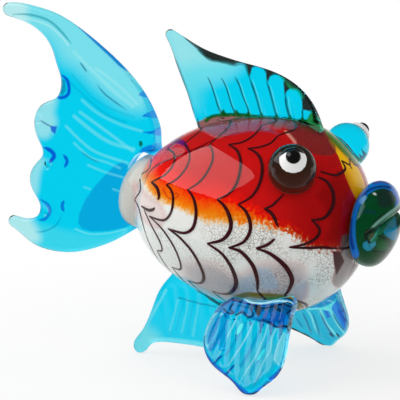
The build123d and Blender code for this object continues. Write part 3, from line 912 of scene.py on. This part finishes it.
for turn, places in enumerate(dorsalRibs):
    footX, footY = places[-2:]
    tooth = footX - 5, footY + 2, footX - 0.5, footY - 5, footX + 5, footY + 3
    beside = [place + 3 for place in places[:-2]]
    dorsalMarks["rib" + str(turn)] = line((6, 52, 62), 1.5, 0.95, *places, ends=(0.2, 1.4))
    dorsalMarks["tooth" + str(turn)] = patch((4, 80, 18), 1.0, 0.95, *tooth)
    dorsalMarks["shine" + str(turn)] = line((110, 232, 242), 1.2, 0.6, *beside, ends=(0.2, 0.2))

analMarks = {
    "tip": patch((120, 222, 232), 16, 0.8, 126, 334, 146, 326, 160, 342, 136, 356),
    "fold": line(glassColours["teal"], 1.6, 0.6, 179, 298, 197, 303, 216, 307),
    "bodyLine": line((10, 50, 40), 3.0, 0.9, 174, 272, 196, 288, 220, 305, ends=(0.2, 1)),
    "lowerEdge": line(glassColours["pale"], 5.0, 0.6, 150, 340, 175, 341, 203, 345, soft=3),
    "ribA": line(glassColours["pale"], 1.6, 0.4, 178, 300, 170, 330, soft=2),
    "ribB": line(glassColours["pale"], 1.6, 0.4, 188, 302, 182, 332, soft=2),
    "ribC": line(glassColours["pale"], 1.6, 0.4, 198, 305, 193, 336, soft=2),
    "ribD": line(glassColours["deep"], 1.4, 0.4, 183, 302, 176, 330, soft=2),
    "ribE": line(glassColours["deep"], 1.4, 0.4, 193, 304, 188, 334, soft=2),
    "leftEdge": line(glassColours["pale"], 2.0, 0.6, 166, 290, 154, 312, 144, 332, soft=2),
}

# The pale colour of the painted highlights along the ribs and lens edges of the near side fin
ribHighlight = (140, 226, 240)
pectoralMarks = {
    "lowerPale": patch((70, 200, 224), 10, 0.6, 256, 344, 274, 342, 274, 362, 262, 374, 250, 382, 238, 372,
        244, 356),
    "leftLens": patch((0, 170, 220), 1.6, 0.8, 221, 309, 213, 319, 207, 333, 206, 343, 209, 346, 213, 339,
        218, 328, 221, 317),
    "valleyA": line((0, 150, 208), 3.0, 0.7, 228, 318, 220, 335, 210, 350, soft=1.6),
    "valleyB": line((0, 160, 214), 3.0, 0.7, 246, 323, 236, 340, 226, 355, soft=1.6),
    "valleyC": line((0, 156, 214), 3.4, 0.7, 262, 325, 253, 345, 241, 366, soft=1.6),
    "valleyD": line((0, 164, 214), 3.0, 0.7, 270, 335, 260, 356, 250, 374, soft=1.6),
    "lensEdgeA": line(ribHighlight, 1.5, 0.95, 222, 307, 212, 318, 206, 332, 205, 342, 208, 347),
    "lensEdgeB": line(ribHighlight, 1.5, 0.95, 222, 309, 220, 322, 215, 335, 208, 347),
    "ribA": line(ribHighlight, 1.2, 0.95, 238, 313, 235, 322, 228, 335, 221, 350, 217, 358, ends=(0.3, 0.2)),
    "ribB": line(ribHighlight, 1.2, 0.95, 254, 321, 248, 334, 241, 346, 233, 358, 228, 366, ends=(0.3, 0.2)),
    "ribC": line(ribHighlight, 1.2, 0.95, 269, 317, 266, 332, 261, 344, 256, 356, 247, 370, 240, 382,
        ends=(0.3, 0.2)),
    "ribD": line(ribHighlight, 1.2, 0.9, 279, 315, 277, 326, 272, 338, 270, 350, 262, 365, 254, 386,
        ends=(0.3, 0.2)),
    "ribE": line((0, 140, 190), 1.2, 0.8, 266, 366, 258, 378, 252, 390, ends=(0, 0)),
    "glintA": line((90, 250, 246), 4.0, 0.9, 243, 323, 239, 330, 235, 335, ends=(0, 0)),
    "glintB": line((60, 246, 250), 2.6, 0.8, 265, 348, 261, 355, 257, 361, ends=(0, 0)),
    "rightLens": patch((110, 212, 230), 1.6, 0.9, 285, 333, 289, 336, 287, 350, 281, 363, 276, 361,
        275, 356, 279, 345),
    "rightLensEdge": line(ribHighlight, 1.3, 0.95, 284, 333, 278, 345, 274.5, 357, 277, 363, 282, 367),
    "rootBlue": patch((0, 138, 206), 1.4, 1.0, 214, 312, 224, 300, 238, 294, 262, 298, 300, 298, 298, 330,
        291, 331, 283, 329, 275, 327, 267, 324, 260, 322, 252, 320, 244, 316, 238, 312, 231, 315, 227, 318,
        222, 313),
    "rootDeep": patch((0, 128, 212), 2.0, 1.0, 261, 306, 274, 306, 284, 304, 296, 306, 294, 328, 283, 326,
        272, 322, 262, 317),
    "curlA": line((6, 40, 78), 2.0, 0.9, 233, 304, 230, 309, 234, 313, 228, 313, 224, 309),
    "curlB": line((6, 40, 78), 2.2, 0.9, 236, 315, 243, 312, 248, 317, 253, 315, 251, 309),
    "curlC": patch((8, 20, 34), 1.4, 1.0, 255, 305, 261, 305, 261, 314, 258, 317, 255, 312),
    "curlD": line((4, 50, 110), 2.2, 0.9, 262, 320, 270, 323, 276, 327, 284, 326, 290, 328, 288, 323),
    "oliveRing": line((134, 124, 24), 6.0, 1.0, 238, 293, 248, 291, 262, 292, 280, 293, 292, 296, 298, 302,
        soft=1.4),
    "oliveGreen": patch((104, 150, 16), 1.4, 1.0, 264, 293, 284, 293, 286, 297, 264, 298),
    "oliveTeal": patch((50, 130, 160), 1.4, 0.95, 247, 294, 262, 294, 262, 298, 250, 299),
    "oliveBlack": line((14, 22, 14), 1.8, 1.0, 240, 293, 244, 298, 252, 300.5, 262, 300, 276, 298,
        290, 299, 297, 304),
    "rootLight": line((206, 246, 252), 1.8, 1.0, 243, 297, 250, 302, 262, 303.5, 270, 302, 280, 301,
        290, 302.5, 296, 307),
    "rootBlack": line((4, 30, 60), 1.6, 1.0, 248, 304, 262, 308, 272, 306.5, 283, 304.5, 295, 308),
    "rimOuter": line((0, 118, 214), 9.0, 1.0, 203, 349, 211, 364, 226, 379, 241, 392, 252, 398, 263, 391,
        276, 382, 282, 371, ends=(0.2, 0.5)),
    "rimDark": line((0, 84, 168), 2.6, 0.95, 202, 350, 210, 364, 225, 379, 240, 392, 250, 398,
        ends=(0.3, 0.3)),
    "notchA": line((0, 92, 176), 2.4, 0.95, 213, 365, 218, 359, 223, 355, ends=(1, 0)),
    "notchB": line((0, 92, 176), 2.6, 0.95, 225, 375, 230, 370, 235, 364, ends=(1, 0)),
    "rightRim": patch((0, 122, 216), 1.6, 1.0, 268, 378, 276, 372, 281, 368, 286, 372, 276, 386),
    "rightEdge": line((190, 240, 246), 1.6, 0.8, 290.5, 333, 289, 346, 285, 358, 282, 367),
}

farMarks = {
    "root": patch((0, 134, 196), 1.4, 0.9, 302, 307, 310, 302, 325, 296, 336, 290, 336, 298, 331, 303,
        324, 306, 317, 308, 308, 307.5),
    "rightBlue": patch((0, 128, 220), 1.4, 1.0, 331, 307.5, 337, 300, 344, 308, 350, 318, 352, 327,
        349, 332, 346, 332, 341, 325, 336, 316),
    "rightDeep": line((0, 86, 190), 3.4, 0.8, 339, 311, 344, 320, 348, 329, soft=2),
    "blueSpot": patch((0, 112, 212), 1.2, 0.95, 323, 309, 328, 311, 331, 317, 327, 318),
    "triangle": patch((90, 220, 226), 1.2, 0.95, 320, 308, 327, 306, 337, 300, 333, 304, 331, 310,
        326, 309),
    "crest": line((110, 226, 232), 1.6, 0.9, 305, 306, 309, 309, 316, 308.5, 322, 309, 330, 310),
    "ribA": line((110, 226, 232), 1.6, 0.9, 306, 309, 311, 316, 314, 325, 317, 334, ends=(0.3, 0)),
    "ribB": line((120, 226, 232), 2.4, 0.95, 320, 309, 323, 317, 328, 326, 338, 337, ends=(0.4, 0.2)),
    "ribC": line((120, 226, 232), 2.4, 0.95, 330, 309, 334, 317, 339, 326, 349, 338, ends=(0.4, 0.2)),
    "darkA": line((0, 112, 156), 1.6, 0.9, 302, 312, 307, 322, 312, 335, ends=(0, 0)),
    "darkB": line((0, 122, 164), 1.4, 0.8, 296, 318, 303, 328, ends=(0, 0)),
    "darkC": line((0, 112, 156), 1.4, 0.9, 312, 312, 317, 325, 320, 336, ends=(0, 0)),
    "darkD": line((0, 100, 150), 1.8, 0.9, 320, 312, 326, 325, 334, 337, ends=(0, 0.2)),
    "darkE": line((0, 100, 150), 1.6, 0.9, 332, 312, 338, 323, 346, 333, ends=(0, 0)),
    "streakA": line((0, 62, 100), 2.2, 0.95, 329, 333, 334, 337, ends=(0, 0)),
    "streakB": line((2, 54, 84), 2.0, 0.95, 336, 333, 341, 339, ends=(0, 0)),
    "streakC": line((2, 54, 84), 2.0, 0.95, 341, 335, 347, 341, ends=(0, 0)),
    "tip": patch((96, 204, 220), 3, 0.9, 350, 324, 356, 330, 352, 343, 343, 340, 349, 334),
}


def meltedCopy(node, name, voxel, iterations):
    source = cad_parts[node]
    piece = bpy.data.objects.new(name, source.data.copy())
    bpy.context.collection.objects.link(piece)
    piece.matrix_world = source.matrix_world.copy()
    settle(piece)
    bpy.ops.object.mode_set(mode="EDIT")
    bpy.ops.mesh.select_all(action="SELECT")
    bpy.ops.mesh.remove_doubles(threshold=0.002 * mm)
    bpy.ops.mesh.select_all(action="DESELECT")
    bpy.ops.object.mode_set(mode="OBJECT")
    finishWith(piece, "REMESH", mode="VOXEL", voxel_size=voxel * mm)
    finishWith(piece, "SMOOTH", factor=0.5, iterations=iterations)
    return smoothShade(piece)


# Deepens the colour of the points near a fin's outline, where one looks along the glass
def darkenRim(piece, normal, reach, colour, strength):
    mesh = piece.data
    wall = [point.index for point in mesh.vertices if abs(point.normal.dot(normal)) < 0.5]
    tree = KDTree(len(wall))
    for place, index in enumerate(wall):
        tree.insert(mesh.vertices[index].co, place)
    tree.balance()
    gaps = np.array([tree.find(point.co)[2] / mm for point in mesh.vertices])
    layer = mesh.color_attributes["tint"]
    tint = np.empty(len(gaps) * 4)
    layer.data.foreach_get("color", tint)
    tint = tint.reshape(-1, 4)
    cover = (strength * smooth(gaps, reach, 0.0) * (1 - tint[:, 3]))[:, None]
    tint[:, :3] = tint[:, :3] * (1 - cover) + np.array(colour) * cover
    layer.data.foreach_set("color", tint.ravel())


# focus is the point that the fine ribs fan from, in millimetres from the widest place and the table
def turquoiseGlass(name, focus, ribs, bump):
    material = paintedGlass(name)
    nodes, links = material.node_tree.nodes, material.node_tree.links
    where = nodes.new("ShaderNodeTexCoord").outputs["Object"]
    fan = useGroup(nodes, links, fanRibs, Point=where, **{
        "Focus X": widestX + focus[0] * mm, "Focus Z": focus[1] * mm, "Ribs per radian": ribs, "Waver": 0.5})
    relief = nodes.new("ShaderNodeBump")
    relief.inputs["Strength"].default_value = bump
    relief.inputs["Distance"].default_value = 0.001
    links.new(fan["Height"], relief.inputs["Height"])
    links.new(relief.outputs[0], nodes["Principled BSDF"].inputs["Normal"])
    return material


# The faces that lie on the body's egg get the seat's material
def wearSeat(piece, material, gap):
    piece.data.materials.append(material)
    places = np.empty(len(piece.data.polygons) * 3)
    piece.data.polygons.foreach_get("center", places)
    own = np.array(bodyPlace.inverted())
    local = (places.reshape(-1, 3) @ own[:3, :3].T + own[:3, 3]) / mm
    reach = np.where(local[:, 0] > 0, body["noseLength"], body["rumpLength"])
    level = np.sqrt((local[:, 0] / reach) ** 2 + (local[:, 1] ** 2 + local[:, 2] ** 2) / body["radius"] ** 2)
    seated = (level - 1) * body["radius"] < gap
    slots = np.where(seated, 1, 0).astype(np.int32)
    piece.data.polygons.foreach_set("material_index", slots)
    print(piece.name, "seat faces:", int(seated.sum()))


sideFins = {
    "splay": 32.8,
    "spread": 56.6,
}


def makeFins():
    flat = (Vector((0, 0, 0)), Vector((0, -1, 0)))
    splay = math.radians(sideFins["splay"])
    lean, rise = math.cos(splay), math.sin(splay)
    right = (Vector((0, -sideFins["spread"] * mm, 0)), Vector((0, -lean, -rise)))
    left = (Vector((0, sideFins["spread"] * mm, 0)), Vector((0, -lean, rise)))
    fins = {
        "tail_fin": ("tailFin", flat, 0.5, 12, tailMarks, (120.0, 60.0), 16.0, 0.1),
        "dorsal_fin": ("dorsalFin", flat, 0.45, 12, dorsalMarks, (10.0, -60.0), 26.0, 0.08),
        "anal_fin": ("analFin", flat, 0.5, 20, analMarks, (-20.0, 190.0), 26.0, 0.1),
        "right_pectoral_fin": ("rightPectoralFin", right, 0.4, 60, pectoralMarks, (16.0, 150.0), 26.0, 0.08),
        "left_pectoral_fin": ("leftPectoralFin", left, 0.4, 60, farMarks, (16.0, 150.0), 26.0, 0.08),
    }
    for node, (name, plane, voxel, melt, marks, focus, ribs, bump) in fins.items():
        piece = meltedCopy(node, name, voxel, melt)
        if plane is flat:
            paint(piece, shade(*glassColours["cyan"]), marks, plane)
            darkenRim(piece, plane[1], 1.6, shade(*glassColours["deep"]), 0.6)
        else:
            paint(piece, shade(*glassColours["far" if plane is left else "side"]), marks, plane,
                  backTint=shade(*glassColours["back"]))
        wear(piece, turquoiseGlass(name, focus, ribs, bump))
        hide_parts(node)
        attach(piece, "root")
        print(name, "done:", len(piece.data.polygons), "faces")


lipColours = {
    "glass": (0, 84, 40),
    "seat": (90, 110, 30),
    "clearness": 0.4,
}
lipMarks = {
    "bottomGreen": line((0, 112, 70), 3.0, 0.8, 352, 259, 364, 264, 378, 265, 390, 261),
    "bottomBrown": patch((52, 58, 46), 4, 0.8, 382, 254, 394, 252, 392, 260, 382, 263),
    "upperDark": patch((30, 52, 52), 4, 0.8, 377, 190, 389, 189, 394, 195, 393, 203, 386, 208, 378, 204),
    "middleDark": line((10, 70, 80), 3.0, 0.8, 361, 213, 368, 211, 375, 213),
    "blueBand": line((0, 132, 240), 10.0, 1.0, 354, 254, 351, 241, 350.5, 225, 353, 210, 357.5, 200,
        363, 192.5, 369.5, 187.5, 376, 184.5, 385, 183.5, 394, 187),
    "bandDeep": line((0, 58, 168), 3.4, 0.9, 351, 219, 350.5, 234, 353, 248, soft=1.6),
    "bandInner": line((0, 60, 130), 2.2, 0.9, 362, 197, 367, 191.5, 374, 188, 382, 186.5, 390, 187.5),
    "bandOuter": line((0, 70, 120), 1.8, 0.9, 349, 254, 346.5, 240, 346.5, 222, 349, 208, 354, 197,
        361, 189),
    "bandTop": line((66, 76, 170), 3.4, 0.8, 373, 182.5, 381, 181, 389, 182.5),
    "bandShine": patch((110, 196, 255), 1.6, 0.95, 359, 201, 363, 196, 367, 197, 362, 204),
    "innerShine": line((96, 158, 158), 2.6, 0.8, 362, 205, 360, 212, 356.5, 220, ends=(0.3, 0)),
    "leftShine": line((120, 196, 160), 1.6, 0.8, 345.5, 234, 346.5, 248, 349, 258, ends=(0, 0.3)),
    "rightPatch": patch((10, 122, 228), 1.6, 1.0, 393, 189, 399, 188, 400.5, 193, 400.5, 202, 397, 206.5,
        395, 206, 396, 198, 393, 193.5),
    "greenBand": line((44, 138, 92), 8.0, 0.8, 396, 215, 388, 221, 381, 228, 376, 234, 372, 240),
    # the pale line along the crease is a painted highlight
    "crease": line((140, 196, 184), 2.6, 1.0, 400, 203.5, 396, 208, 390, 212.5, 383, 218, 376, 224,
        369, 231, ends=(1, 0.3)),
    "creaseDark": line((20, 50, 40), 1.6, 0.9, 372, 223, 380, 217, 388, 211, ends=(0.2, 0)),
    "spiral": line((34, 44, 38), 3.4, 0.9, 373, 229, 367.5, 232, 366, 238, 370, 243),
    "spiralBrown": patch((92, 88, 66), 2, 0.8, 369, 233, 374, 231, 374, 237, 369, 240),
    "triangle": patch((0, 150, 196), 1.4, 1.0, 395.5, 216, 398, 224, 398, 238, 394, 241, 386, 236,
        383, 232, 388, 224),
    "triangleEdge": line((16, 60, 40), 1.6, 0.9, 395.5, 212, 397.5, 226, 398, 240, 396, 249),
    "tealLine": line((80, 186, 176), 1.6, 0.9, 379, 228, 375, 236, 371, 241),
    # painted highlights, pale cyan, low on the lips
    "cyanHighlightA": patch((50, 168, 208), 1.4, 0.95, 363, 243, 367, 241, 369, 245, 372, 250, 367, 251, 363, 248),
    "cyanHighlightB": patch((70, 178, 214), 1.4, 0.95, 369, 244, 375.5, 241.5, 376, 245, 372, 249),
    "lowerGreen": patch((10, 112, 54), 2, 0.8, 377, 241, 386, 242, 388, 249, 378, 250),
    "lowerLine": line((14, 34, 26), 1.6, 0.9, 372, 251, 382, 252, 391, 251, 396, 248),
    "lowerFold": line((14, 40, 36), 2.2, 0.9, 379, 236, 388, 240, 391, 247),
    "glint": line((250, 252, 252), 2.0, 1.0, 374, 193.5, 375.4, 194.3),
}


def makeLips():
    lips = meltedCopy("lips", "mouthLips", 0.5, 20)
    paint(lips, shade(*lipColours["glass"]), lipMarks, mirrored=True)
    wear(lips, paintedGlass("lipGlass", lipColours["clearness"]))
    wearSeat(lips, embeddedGlass("lipSeat", lipColours["seat"], 0.4), 1.2)
    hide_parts("lips")
    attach(lips, "root")
    print("lips done:", len(lips.data.polygons), "faces")


def glossyBlack():
    material, nodes, links, shader = freshMaterial("blackGlass")
    shader.inputs["Base Color"].default_value = (*shade(14, 12, 13), 1.0)
    shader.inputs["Roughness"].default_value = 0.05
    return material


domeMarks = {
    "nearDome": patch((166, 128, 112), 4, 1.0, 260, 136, 322, 136, 324, 200, 260, 200),
    "farNotch": patch((6, 44, 60), 1, 1.0, 360, 158, 358, 153, 363, 156, 361, 148, 367, 154, 362, 162),
    "farLine": line((4, 60, 30), 3.4, 1.0, 328, 132, 344, 146, 361, 161, ends=(1, 1)),
}
whiteMarks = {
    "nearLid": patch((18, 15, 15), 1.2, 1.0, 268, 138, 316, 138, 312, 158, 305, 154, 299, 152, 292, 151.4,
        285, 153, 279, 157, 274, 162),
    "farSoft": line((196, 202, 200), 3.0, 0.5, 352, 129, 362, 134, 368, 140, soft=3),
}


def makeEyes():
    pieces = {
        "eye_domes": ("eyeDomes", paintedGlass("domeGlass")),
        "eye_whites": ("eyeWhites", paintedGlass("whiteGlass", 0.0)),
        "pupils": ("blackPupils", glossyBlack()),
    }
    for node, (name, material) in pieces.items():
        piece = meltedCopy(node, name, 0.35, 4)
        wear(piece, material)
        if node == "eye_domes":
            paint(piece, shade(*glassColours["cyan"]), domeMarks)
            wearSeat(piece, embeddedGlass("domeSeat", (96, 62, 50), 0.4), 1.2)
        if node == "eye_whites":
            paint(piece, shade(240, 240, 238), whiteMarks)
        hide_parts(node)
        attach(piece, "root")
        print(name, "done:", len(piece.data.polygons), "faces")


# Floor, world and lamps
studio = {
    "worldLight": 0.75,
    "underGlassLight": 1.4,
    "softbox": (-0.78, -0.40, 0.84),
    "softboxSize": (1.25, 0.8),
    "softboxPower": 7.0,
    "shadowReach": 0.10,      # of the floor round the fish that keeps its full shadow
    "whiteReach": 0.32,
    "darkness": 0.93,
}


# 1 for what the camera, the gloss and the glass see, 0 for the light on the fish
def seenWhite(nodes, links):
    path = nodes.new("ShaderNodeLightPath")
    seen = maths(nodes, links, "MAXIMUM", path.outputs["Is Camera Ray"], path.outputs["Is Transmission Ray"])
    return maths(nodes, links, "MAXIMUM", seen, path.outputs["Is Glossy Ray"])


# How dark the studio is above and before the fish, away from the white paper. high and front are the
# spans over which it darkens upwards and towards the front
def studioDark(nodes, links, reading, high, front):
    parts = nodes.new("ShaderNodeSeparateXYZ")
    links.new(reading, parts.inputs[0])
    forward = maths(nodes, links, "MULTIPLY", parts.outputs["Y"], -0.89)
    forward = maths(nodes, links, "MULTIPLY_ADD", parts.outputs["X"], 0.45, forward)
    above = spread(nodes, links, parts.outputs["Z"], *high, 0.0, studio["darkness"])
    before = spread(nodes, links, forward, *front, 0.0, studio["darkness"])
    return maths(nodes, links, "MAXIMUM", above, before)


# 1 for what gloss shows, 0 for what is seen through the glass and for the light on the fish
def mirrorRay(nodes, links):
    path = nodes.new("ShaderNodeLightPath")
    gloss, through = path.outputs["Is Glossy Ray"], path.outputs["Is Transmission Ray"]
    return maths(nodes, links, "SUBTRACT", gloss, through, clamp=True)


def paperMaterial():
    material, nodes, links, shader = freshMaterial("palePaper")
    shader.inputs["Base Color"].default_value = (0.9, 0.9, 0.89, 1.0)
    shader.inputs["Roughness"].default_value = 0.8
    shader.inputs["Specular IOR Level"].default_value = 0.0
    glow = nodes.new("ShaderNodeEmission")
    glow.inputs["Color"].default_value = (1.0, 1.0, 1.0, 1.0)
    glow.inputs["Strength"].default_value = 1.0
    where = nodes.new("ShaderNodeTexCoord").outputs["Object"]
    reach = nodes.new("ShaderNodeVectorMath")
    reach.operation = "LENGTH"
    links.new(where, reach.inputs[0])
    far = spread(nodes, links, reach.outputs["Value"], studio["shadowReach"], studio["whiteReach"], 0.7, 1.0)
    dark = maths(nodes, links, "MULTIPLY", mirrorRay(nodes, links),
                 studioDark(nodes, links, where, (9.0, 10.0), (-0.06, 0.12)))
    links.new(maths(nodes, links, "SUBTRACT", 1.0, dark), glow.inputs["Strength"])
    mix = nodes.new("ShaderNodeMixShader")
    white = maths(nodes, links, "MULTIPLY", far, seenWhite(nodes, links))
    links.new(maths(nodes, links, "MAXIMUM", white, dark), mix.inputs[0])
    links.new(shader.outputs[0], mix.inputs[1])
    links.new(glow.outputs[0], mix.inputs[2])
    links.new(mix.outputs[0], nodes["Material Output"].inputs["Surface"])
    return material


def makeStage():
    bpy.ops.mesh.primitive_plane_add(size=12.0, location=(0, 0, -0.0002))
    floor = bpy.context.object
    floor.name = "floor"
    wear(floor, paperMaterial())

    world = bpy.data.worlds.new("studio")
    bpy.context.scene.world = world
    world.use_nodes = True
    nodes, links = world.node_tree.nodes, world.node_tree.links
    light = nodes["Background"]
    light.inputs["Color"].default_value = (1.0, 1.0, 1.0, 1.0)
    path = nodes.new("ShaderNodeLightPath")
    through = path.outputs["Is Transmission Ray"]
    links.new(maths(nodes, links, "MULTIPLY_ADD", through, studio["underGlassLight"] - studio["worldLight"],
                    studio["worldLight"]), light.inputs["Strength"])
    seen = nodes.new("ShaderNodeBackground")
    seen.inputs["Color"].default_value = (1.0, 1.0, 1.0, 1.0)
    direction = nodes.new("ShaderNodeTexCoord").outputs["Generated"]
    dark = maths(nodes, links, "MULTIPLY", mirrorRay(nodes, links),
                 studioDark(nodes, links, direction, (0.0, 0.4), (-0.9, -0.3)))
    links.new(maths(nodes, links, "SUBTRACT", 1.0, dark), seen.inputs["Strength"])
    mix = nodes.new("ShaderNodeMixShader")
    straight = maths(nodes, links, "SUBTRACT", 1.0, path.outputs["Diffuse Depth"], clamp=True)
    links.new(maths(nodes, links, "MULTIPLY", seenWhite(nodes, links), straight), mix.inputs[0])
    links.new(light.outputs[0], mix.inputs[1])
    links.new(seen.outputs[0], mix.inputs[2])
    links.new(mix.outputs[0], nodes["World Output"].inputs["Surface"])

    bpy.ops.object.light_add(type="AREA", location=studio["softbox"])
    box = bpy.context.object
    box.data.shape = "RECTANGLE"
    box.data.size, box.data.size_y = studio["softboxSize"]
    box.data.energy = studio["softboxPower"]
    fromFish = Vector(studio["softbox"]) - Vector((0, 0, 0.09))
    box.rotation_euler = fromFish.to_track_quat("Z", "Y").to_euler()
    bpy.context.scene.view_settings.view_transform = "Standard"


makeBody()
makeThreads()
makeFins()
makeLips()
makeEyes()
placeCamera()
makeStage()
